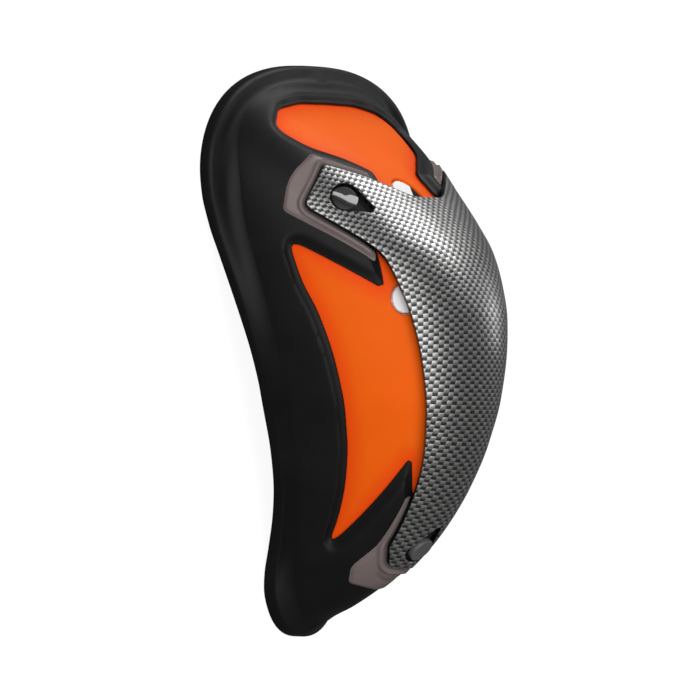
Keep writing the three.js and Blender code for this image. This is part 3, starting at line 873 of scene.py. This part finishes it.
def moulded_finish(name, dark, light, grain_size, grain_depth, roughness, gloss, marks=0.0):
    """Moulded plastic or elastomer: two close shades, a fine grain and faint handling marks. The
    light shade is a multiple of the dark one."""
    material, tree, shader = new_finish(name)
    pale = [min(1.0, light * part) for part in dark]
    worn = [min(1.0, 0.12 + 1.4 * part) for part in pale]
    place = add(tree, "ShaderNodeTexCoord").outputs["Object"]
    inputs = {"Place": place, "Grain Size": grain_size}
    grain = add(tree, "ShaderNodeGroup", inputs, node_tree=moulded_grain()).outputs
    tone = map_range(tree, grain["Mottle"], 0.3, 0.7)
    shade = mix_colours(tree, tone, (*dark, 1), (*pale, 1))
    share = maths(tree, "MULTIPLY", grain["Marks"], marks)
    fill(tree, shader, {
        "Base Color": mix_colours(tree, share, shade, (*worn, 1)),
        "Roughness": map_range(tree, tone, 0.0, 1.0, roughness - 0.06, roughness + 0.06),
        "Specular IOR Level": gloss,
    })
    add_relief(tree, shader, grain["Grain"], grain_depth, 1.0)
    return material, tree, shader


def tint(tree, shader, attribute, start, stop, colour):
    """Mixes a colour into a finish as an attribute of its mesh goes from start to stop."""
    shade = shader.inputs["Base Color"].links[0].from_socket
    value = add(tree, "ShaderNodeAttribute", attribute_name=attribute).outputs["Fac"]
    share = map_range(tree, value, start, stop)
    fill(tree, shader, {"Base Color": mix_colours(tree, share, shade, (*colour, 1))})


def paint_marked_shade(tree, shader):
    """Blackens a finish where its mesh is marked, as painted shade in its pockets, gaps and shadows."""
    tint(tree, shader, "painted_shade", 0.15, 0.6, (0.012, 0.012, 0.012))


def woven_finish(name, silver, carbon, cell):
    """Clear-coated plain weave of silver and carbon tows, on cells of a width and a length."""
    material, tree, shader = new_finish(name)
    pattern = add(tree, "ShaderNodeUVMap", uv_map="weave").outputs["UV"]
    count = (PATTERN_SPAN / cell[0], PATTERN_SPAN / cell[1], 1)
    cells = vector(tree, "MULTIPLY", pattern, count)
    weave = add(tree, "ShaderNodeGroup", {"Cells": cells}, node_tree=plain_weave()).outputs
    fibre = map_range(tree, weave["Fibre"], 0.25, 0.75, 0.8, 1.15)
    lot = map_range(tree, weave["Lot"], 0.0, 1.0, 0.86, 1.06)
    uneven = maths(tree, "MULTIPLY", fibre, lot)
    # The weave's Shade carries its painted light and shade into the colour.
    base = mix_colours(tree, weave["Shade"], (*carbon, 1), (*silver, 1))
    shaded = add(tree, "ShaderNodeVectorMath", {0: base, "Scale": uneven}, operation="SCALE")
    fill(tree, shader, {
        "Base Color": shaded.outputs[0],
        "Roughness": map_range(tree, weave["Fibre"], 0.25, 0.75, 0.4, 0.32),
        "Metallic": map_range(tree, weave["Tow"], 0.0, 1.0, 0.3, 0.88),
        "Specular IOR Level": 0.25,
        "Coat Weight": 0.3,
        "Coat Roughness": 0.25,
    })
    # Painted shade along the shield's cut edges.
    paint_marked_shade(tree, shader)
    add_relief(tree, shader, weave["Pillow"], 0.00008, 0.5)
    return material


# The pieces

def rim_mesh(lip, slope, drop):
    """Bmesh and places of the soft rim and the cover that runs up from it and slopes down to the
    windows."""
    lines = [(outline(OPENING_HALF), -1, 0)]
    ease_width = 4

    def top(at):
        width = slope - 0.5 * slope * eased(at[:, 1], *WAIST_SLOPE)
        return COVER_HIGH - drop * (1 - eased(-measure(lines, at)[0], 0, width))

    bm, at, depth, turn, on_rim = walled_dome(
        spokes=400, rings=92, lines=lines, lip=lip, foot_rows=RIM_ROWS
    )
    place, height = lip_places(at[~on_rim], depth[~on_rim], lines, lip, COVER_LOW, top)
    wall = surface(*place.T, height)
    outer = (height - COVER_LOW) / (COVER_HIGH - COVER_LOW)
    inside = np.maximum(wall[:, 2], rim_lift(wall[:, 1]) + LIP_HEIGHT)
    off_window = eased(-measure(lines, place)[0], 0, ease_width)
    raised = outer * off_window * (softened(wall) - wall[:, 2])
    wall[:, 2] = np.where(outer > 0, wall[:, 2] + raised, inside)
    places = np.empty((len(at), 3))
    places[~on_rim] = wall
    rows = np.stack(rim_rows(turn[on_rim]))
    row = np.rint((1 - depth[on_rim]) * (RIM_ROWS + 1)).astype(int) - 1
    places[on_rim] = rows[row, np.arange(len(row))]
    return bm, places


def shell_mesh(lip):
    """Bmesh and places of the hard shell with its vents, marked where the rim covers it and a
    little beyond, for a painted shade.
    """
    lines = [(DrawnLine(drawn_at(u, y, circle_loop(radius))), -1, 0) for u, y, radius in VENTS]
    tint_width = 6
    bm, at, depth, turn, on_foot = walled_dome(
        spokes=240, rings=56, lines=lines, lip=lip, foot_rows=2
    )
    place, height = lip_places(at[~on_foot], depth[~on_foot], lines, lip, -SHELL_WALL, even(0))
    stand = LIP_HEIGHT + LAYER_GAP
    wall = surface(*place.T, height)
    wall[:, 2] = np.maximum(wall[:, 2], rim_lift(wall[:, 1]) + stand)
    places = np.empty((len(at), 3))
    places[~on_foot] = wall
    foot, _, out = plan_spokes(turn[on_foot])
    inset = np.where(depth[on_foot] > 0.5, 0, SHELL_WALL)
    places[on_foot] = np.column_stack((foot - out * inset[:, None], rim_lift(foot[:, 1]) + stand))
    # Painted shade: the mark is full under the rim and fades over a few millimetres into the windows.
    painted_rim_shade = np.ones(len(at))
    windows = [(outline(OPENING_HALF), 1, 0)]
    painted_rim_shade[~on_foot] = 1 - eased(-measure(windows, place)[0], -0.5, tint_width)
    mark(bm, "painted_rim_shade", painted_rim_shade)
    return bm, places


def patch_mesh(u, y, radius, shaded):
    """Bmesh and places of the patch under one vent, cushioned up into its hole. A shaded patch has
    a painted shadow on its right."""
    overlap = 1.6
    base = 0.9
    cushion = 2.1
    cushion_edge = (1.85, 2.3)
    shadow_edge = (2.0, 2.4)
    shadow_slant = 0.76
    low = -SHELL_WALL - 1.2
    reach = radius + 3
    lines = [(DrawnLine(drawn_at(u, y, circle_loop(radius + overlap))), 1, 0)]

    def top(at):
        return low + base + cushion * eased(-measure(lines, at)[0], *cushion_edge)

    bm, place, height = walled_sheet(
        low=(u - reach, y - reach), high=(u + reach, y + reach), cell=0.25,
        lines=lines, lip=0.3, under=low, top=top,
    )
    # Painted shadow: the shaded patch darkens to the right of a slanted line.
    from_left = place[:, 0] - shadow_slant * (place[:, 1] - y)
    mark(bm, "painted_shade", shaded * eased(from_left, *shadow_edge))
    return bm, surface(*place.T, height)


def along_crown(y):
    """Length over the crown from the middle of the cup."""
    knots = np.linspace(-HALF_LENGTH, HALF_LENGTH, 1200)
    steps = np.hypot(np.diff(knots), np.diff(crown_height(knots)))
    gone = np.concatenate(((0,), np.cumsum(steps)))
    return np.interp(y, knots, gone) - np.interp(0, knots, gone)


def shield_mesh(lip):
    """Bmesh and places of the three-armed shield, with its pattern laid over the surface and its
    cut edges marked for painted shade, which stands in for the shadow of the gap along them."""
    lines = [(outline(SHIELD_HALF), 1, 0)]
    for _, u, y, heading in RIVETS:
        lines.append((DrawnLine(drawn_at(u, y, keyhole_loop(heading))), -1, 0))
    bm, place, height = walled_sheet(
        low=(-44, -61.6), high=(44, 53.6), cell=0.8,
        lines=lines, lip=lip, under=SHIELD_LOW, top=even(SHIELD_HIGH),
    )
    pattern = bm.loops.layers.uv.new("weave")
    across = place[:, 0] ** 2 / (1 + (place[:, 0] / BOW_REACH) ** 2)
    bow = BOW * (place[:, 1] - BOW_STRAIGHT) * across
    laid = np.column_stack((place[:, 0], along_crown(place[:, 1]) + bow)) / PATTERN_SPAN
    bm.verts.index_update()
    for face in bm.faces:
        for loop in face.loops:
            loop[pattern].uv = laid[loop.vert.index]
    # Painted shade: the cut edge is blackened, standing in for the shadow of the gap along it.
    cut_edge = (0.1, 0.4)
    mark(bm, "painted_shade", eased(SHIELD_HIGH - height, *cut_edge))
    return bm, surface(*place.T, height)


def socket_mesh(corners, bead, step, slope, crease):
    """Bmesh and places of a socket: flush with the cover outside, with a narrow bead and a slope
    from it down to the edge of the shield. A crease runs round the tail rivet, if there is one."""
    outer = [(DrawnLine(rounded_loop(corners)), 1, 0)]
    shield = [(outline(SHIELD_HALF), 1, 0)]
    lines = outer + [(shield[0][0], -1, SOCKET_CLEARANCE)]
    span = np.array([corner[:2] for corner in corners])
    margin = 0.4
    crest = SOCKET_CLEARANCE + slope
    crest_back = (crest + 0.1, crest + 0.8)
    edge_ease = 1.5
    crease_radius = 9.3
    crease_width = 0.4
    crease_ends = (4, 7)

    def top(at):
        from_shield = measure(shield, at)[0]
        from_edge = -measure(outer, at)[0]
        rise = eased(from_shield, 0, crest)
        fall = 1 - 0.5 * eased(from_shield, *crest_back)
        ring = np.hypot(at[:, 0] - RIVETS[2][1], at[:, 1] - RIVETS[2][2]) - crease_radius
        fade = 1 - eased(np.abs(at[:, 0]), *crease_ends)
        dent = crease * np.exp(-((ring / crease_width) ** 2)) * fade
        return SOCKET_LOW + step + bead * rise * fall * eased(from_edge, 0, edge_ease) - dent

    bm, place, height = walled_sheet(
        low=span.min(0) - margin, high=span.max(0) + margin, cell=0.3,
        lines=lines, lip=0.16, under=SOCKET_LOW, top=top,
    )
    # Painted shade: the slope down to the shield darkens towards the gap.
    mark(bm, "painted_shade", 0.4 - 0.4 * eased(measure(shield, place)[0], SOCKET_CLEARANCE, crest))
    return bm, surface(*place.T, height)


def rivet_mesh(u, y, heading, barred):
    """Bmesh and places of a rivet: a low turned head, with or without a grip bar across it, marked
    for a painted highlight on the bar and painted shade in the pockets beside it.
    """
    radius = 3.9
    under = SHIELD_LOW
    top = SHIELD_HIGH - 0.1
    seat_height = COVER_HIGH + 0.15
    rings = 24
    face = [((radius - 0.3) * (1 - i / rings), top) for i in range(rings + 1)]
    profile = [
        (0, seat_height), (radius - 0.2, seat_height), (radius - 0.02, under), (radius, under + 0.3),
        (radius, top - 0.3), (radius - 0.05, top - 0.12), (radius - 0.15, top - 0.03), *face,
    ]
    bm = bmesh.new()
    chain = [bm.verts.new((out, 0, rise)) for out, rise in profile]
    edges = [bm.edges.new(pair) for pair in zip(chain, chain[1:])]
    bmesh.ops.spin(
        bm, geom=chain + edges, cent=(0, 0, 0), axis=(0, 0, 1), dvec=(0, 0, 0),
        angle=2 * math.pi, steps=96, use_merge=True,
    )
    bmesh.ops.remove_doubles(bm, verts=bm.verts, dist=CLOSE)

    # The bar is a wave: its two sides step up from one end of the head to the other.
    along, side, rise = positions(bm.verts).T
    upper = 0.5 - 0.3 * (1 - eased(np.abs(along + 0.4), 0, 0.9)) + 0.7 * eased(along, 0, 1.6)
    lower = 0.5 + 0.8 * eased(along, -3, 2.5)
    on_head = barred * (rise > top - 0.35)
    painted_shade = on_head * eased(np.maximum(side - upper, -side - lower), 0, 0.35)
    # Painted shade blackens the sunk pockets, and a painted highlight lightens the bar between them.
    mark(bm, "painted_shade", painted_shade)
    mark(bm, "bar", on_head - painted_shade)
    pocket_depth = 0.8
    for vert, share in zip(bm.verts, painted_shade):
        vert.co.z -= pocket_depth * share
    at = np.array([float(u)]), np.array([float(y)])
    seat = Vector(surface(*at, np.zeros(1))[0])
    axis = Vector(surface(*at, np.ones(1))[0]) - seat
    turn = Vector((0, 0, 1)).rotation_difference(axis).to_matrix().to_4x4()
    spin = Matrix.Rotation(math.radians(heading), 4, "Z")
    bmesh.ops.transform(bm, matrix=Matrix.Translation(seat) @ turn @ spin, verts=bm.verts)
    return bm, positions(bm.verts)


# Settings that a user may change

def sized(name, description, default):
    """A length that a user may change."""
    return bpy.props.FloatProperty(name=name, description=description, default=default, unit="LENGTH")


def painted(name, description, default):
    """A colour that a user may change."""
    return bpy.props.FloatVectorProperty(
        name=name, description=description, default=default, size=3, subtype="COLOR"
    )


class CupSizes(bpy.types.PropertyGroup):
    """Sizes of the details that the scene adds."""

    window_lip: sized("Window Lip", "Rounding of the rim round its windows", 0.0004)
    window_slope: sized("Window Slope", "Width of the slope down to a window of the rim", 0.0032)
    window_drop: sized("Window Drop", "Fall of the slope down to a window of the rim", 0.0012)
    vent_lip: sized("Vent Lip", "Rounding of the shell round its vents", 0.0005)
    shield_lip: sized("Shield Lip", "Rounding of the edge of the shield", 0.0003)
    bead: sized("Bead", "Rise of the bead of a socket by the shield", 0.0016)
    socket_step: sized("Socket Step", "Step from the cover up to the edge of a socket", 0.0003)
    weave_width: sized("Weave Width", "Width of a cell of the weave, across the cup", 0.00146)
    weave_length: sized("Weave Length", "Length of a cell of the weave, along the cup", 0.00116)


class CupColours(bpy.types.PropertyGroup):
    """Colours of the finishes."""

    rim: painted("Rim", "Soft rim", (0.005, 0.0052, 0.005))
    shell: painted("Shell", "Hard shell", (0.88, 0.122, 0.0045))
    # The redder tone of the shell beside the rim is a painted shade.
    shell_edge_painted_shade: painted("Shell Edge", "Redder tone of the shell beside the rim", (0.88, 0.05, 0.004))
    socket: painted("Socket", "Soft sockets", (0.165, 0.13, 0.125))
    rivet: painted("Rivet", "Rivets", (0.09, 0.09, 0.09))
    # The light bar colour is a painted highlight.
    rivet_bar_highlight: painted("Rivet Bar", "Bar across the head of a rivet", (0.4, 0.4, 0.39))
    silver: painted("Silver Tow", "Light tow of the weave", (0.52, 0.52, 0.51))
    carbon: painted("Carbon Tow", "Dark tow of the weave", (0.008, 0.008, 0.009))
    lining: painted("Lining", "Patches behind the vents", (0.9, 0.9, 0.9))
    floor: painted("Floor", "Studio floor", (0.12, 0.12, 0.12))


# One operator for each piece or group of like pieces

class MakeRim(bpy.types.Operator):
    """Make the soft rim with its windows"""

    bl_idname = "cup.make_rim"
    bl_label = "Soft Rim"

    def execute(self, context):
        sizes = context.scene.cup_sizes
        finish = moulded_finish(
            "soft rim", context.scene.cup_colours.rim, light=1.5, grain_size=2600,
            grain_depth=0.00003, roughness=0.5, gloss=0.16, marks=0.03,
        )[0]
        bm, places = rim_mesh(sizes.window_lip / MM, sizes.window_slope / MM, sizes.window_drop / MM)
        build("soft_rim", bm, places, ("rim_pad",), finish)
        return {"FINISHED"}


class MakeShell(bpy.types.Operator):
    """Make the hard shell with its vents"""

    bl_idname = "cup.make_shell"
    bl_label = "Hard Shell"

    def execute(self, context):
        colours = context.scene.cup_colours
        finish, tree, shader = moulded_finish(
            "hard shell", colours.shell, light=1.06, grain_size=3000,
            grain_depth=0.000012, roughness=0.45, gloss=0.05,
        )
        # Painted shade: the shell turns redder under the rim and near its edge.
        tint(tree, shader, "painted_rim_shade", 0.0, 1.5, colours.shell_edge_painted_shade)
        bm, places = shell_mesh(context.scene.cup_sizes.vent_lip / MM)
        build("hard_shell", bm, places, ("core_shell",), finish)
        return {"FINISHED"}


class MakeVentPatches(bpy.types.Operator):
    """Make the pale patches behind the vents"""

    bl_idname = "cup.make_vent_patches"
    bl_label = "Vent Patches"

    def execute(self, context):
        finish, tree, shader = moulded_finish(
            "vent patch", context.scene.cup_colours.lining, light=1.05, grain_size=1600,
            grain_depth=0.00004, roughness=0.8, gloss=0.1,
        )
        # Painted shadow on the right of the waist patch.
        paint_marked_shade(tree, shader)
        for side, (u, y, radius) in zip(("waist", "left", "right"), VENTS):
            bm, places = patch_mesh(u, y, radius, side == "waist")
            build("vent_patch_" + side, bm, places, (), finish)
        return {"FINISHED"}


class MakeShield(bpy.types.Operator):
    """Make the woven shield with its keyholes"""

    bl_idname = "cup.make_shield"
    bl_label = "Woven Shield"

    def execute(self, context):
        colours = context.scene.cup_colours
        sizes = context.scene.cup_sizes
        cell = (sizes.weave_width / MM, sizes.weave_length / MM)
        finish = woven_finish("woven shield", colours.silver, colours.carbon, cell)
        bm, places = shield_mesh(sizes.shield_lip / MM)
        build("woven_shield", bm, places, ("carbon_shield",), finish)
        return {"FINISHED"}


class MakeSockets(bpy.types.Operator):
    """Make the soft sockets round the ends of the shield"""

    bl_idname = "cup.make_sockets"
    bl_label = "Soft Sockets"

    def execute(self, context):
        sizes = context.scene.cup_sizes
        finish, tree, shader = moulded_finish(
            "soft socket", context.scene.cup_colours.socket, light=1.2, grain_size=2200,
            grain_depth=0.00002, roughness=0.42, gloss=0.35, marks=0.05,
        )
        # Painted shade on the slopes of the sockets by the shield.
        paint_marked_shade(tree, shader)
        right = [(-u, y, radius) for u, y, radius in reversed(ARM_SOCKET)]
        for side, corners, slope, crease in (
            ("left", ARM_SOCKET, 1.2, 0.0),
            ("right", right, 1.2, 0.0),
            ("tail", mirrored(TAIL_SOCKET_HALF), 1.9, 0.4),
        ):
            bm, places = socket_mesh(corners, sizes.bead / MM, sizes.socket_step / MM, slope, crease)
            build("soft_socket_" + side, bm, places, ("socket_" + side,), finish)
        return {"FINISHED"}


class MakeRivets(bpy.types.Operator):
    """Make the rivets that hold the shield"""

    bl_idname = "cup.make_rivets"
    bl_label = "Rivets"

    def execute(self, context):
        colours = context.scene.cup_colours
        finish, tree, shader = moulded_finish(
            "rivet", colours.rivet, light=1.3, grain_size=2600,
            grain_depth=0.00001, roughness=0.4, gloss=0.5, marks=0.1,
        )
        # Painted highlight on the bar of a rivet head and painted shade in its pockets.
        tint(tree, shader, "bar", 0.0, 1.0, colours.rivet_bar_highlight)
        paint_marked_shade(tree, shader)
        for node, u, y, heading in RIVETS:
            bm, places = rivet_mesh(u, y, heading, node != "rivet_tail")
            build("turned_" + node, bm, places, (node,), finish)
        return {"FINISHED"}


def soft_light(name, place, size, power):
    """Square studio light that faces the cup."""
    data = bpy.data.lights.new(name, "AREA")
    data.size = size
    data.energy = power
    lamp = bpy.data.objects.new(name, data)
    lamp.location = place
    lamp.rotation_euler = (Vector(LIGHT_AIM) - Vector(place)).to_track_quat("-Z", "Y").to_euler()
    bpy.context.scene.collection.objects.link(lamp)


class SetStage(bpy.types.Operator):
    """Set the floor, the lights and the camera"""

    bl_idname = "cup.set_stage"
    bl_label = "Stage"

    def execute(self, context):
        scene = context.scene
        material, tree, shader = new_finish("studio floor")
        fill(tree, shader, {"Base Color": (*scene.cup_colours.floor, 1), "Roughness": 0.9})
        seen = add(tree, "ShaderNodeLightPath").outputs["Is Camera Ray"]
        glow = add(tree, "ShaderNodeEmission", {"Color": WHITE, "Strength": FLOOR_GLOW})
        cut = add(tree, "ShaderNodeMixShader", {0: seen, 2: glow.outputs[0]})
        blend = add(tree, "ShaderNodeAddShader", {0: shader.outputs[0], 1: cut.outputs[0]})
        fill(tree, tree.nodes["Material Output"], {"Surface": blend.outputs[0]})
        bm = bmesh.new()
        bmesh.ops.create_grid(bm, x_segments=8, y_segments=8, size=6)
        floor = mesh_object("studio_floor", bm, material)

        world = bpy.data.worlds.new("studio")
        world.use_nodes = True
        tree = world.node_tree
        seen = add(tree, "ShaderNodeLightPath").outputs["Is Camera Ray"]
        strength = map_range(tree, seen, 0.0, 1.0, SKY_LIGHT, 1.0)
        fill(tree, tree.nodes["Background"], {"Color": WHITE, "Strength": strength})
        scene.world = world
        for name, place, size, power in LIGHTS:
            soft_light(name, place, size, power)

        lens = bpy.data.cameras.new("camera")
        lens.lens = 600
        lens.sensor_width = 36
        lens.clip_start = 0.1
        lens.clip_end = 100
        camera = bpy.data.objects.new("camera", lens)
        lean = Matrix.Rotation(math.radians(-CAMERA_LEAN), 4, "Y")
        roll = Matrix.Rotation(math.radians(CAMERA_ROLL), 4, "Z")
        camera.matrix_world = lean @ Matrix.Translation(CAMERA_PLACE) @ roll
        scene.collection.objects.link(camera)
        scene.camera = camera
        scene.view_settings.view_transform = "Standard"
        return {"FINISHED"}


OPERATORS = (MakeRim, MakeShell, MakeVentPatches, MakeShield, MakeSockets, MakeRivets, SetStage)


class CupPanel(bpy.types.Panel):
    """Lists what makes the cup"""

    bl_idname = "VIEW3D_PT_cup"
    bl_label = "Athletic Cup"
    bl_space_type = "VIEW_3D"
    bl_region_type = "UI"
    bl_category = "Cup"

    def draw(self, context):
        for operator in OPERATORS:
            self.layout.operator(operator.bl_idname)
        for settings in (context.scene.cup_sizes, context.scene.cup_colours):
            for name in settings.__annotations__:
                self.layout.prop(settings, name)


CLASSES = (CupSizes, CupColours, *OPERATORS, CupPanel)


def register():
    for item in CLASSES:
        bpy.utils.register_class(item)
    bpy.types.Scene.cup_sizes = bpy.props.PointerProperty(type=CupSizes)
    bpy.types.Scene.cup_colours = bpy.props.PointerProperty(type=CupColours)


def unregister():
    del bpy.types.Scene.cup_colours
    del bpy.types.Scene.cup_sizes
    for item in reversed(CLASSES):
        bpy.utils.unregister_class(item)


def main():
    register()
    bpy.ops.cup.make_rim()
    bpy.ops.cup.make_shell()
    bpy.ops.cup.make_vent_patches()
    bpy.ops.cup.make_shield()
    bpy.ops.cup.make_sockets()
    bpy.ops.cup.make_rivets()
    bpy.ops.cup.set_stage()


if __name__ == "__main__":
    main()
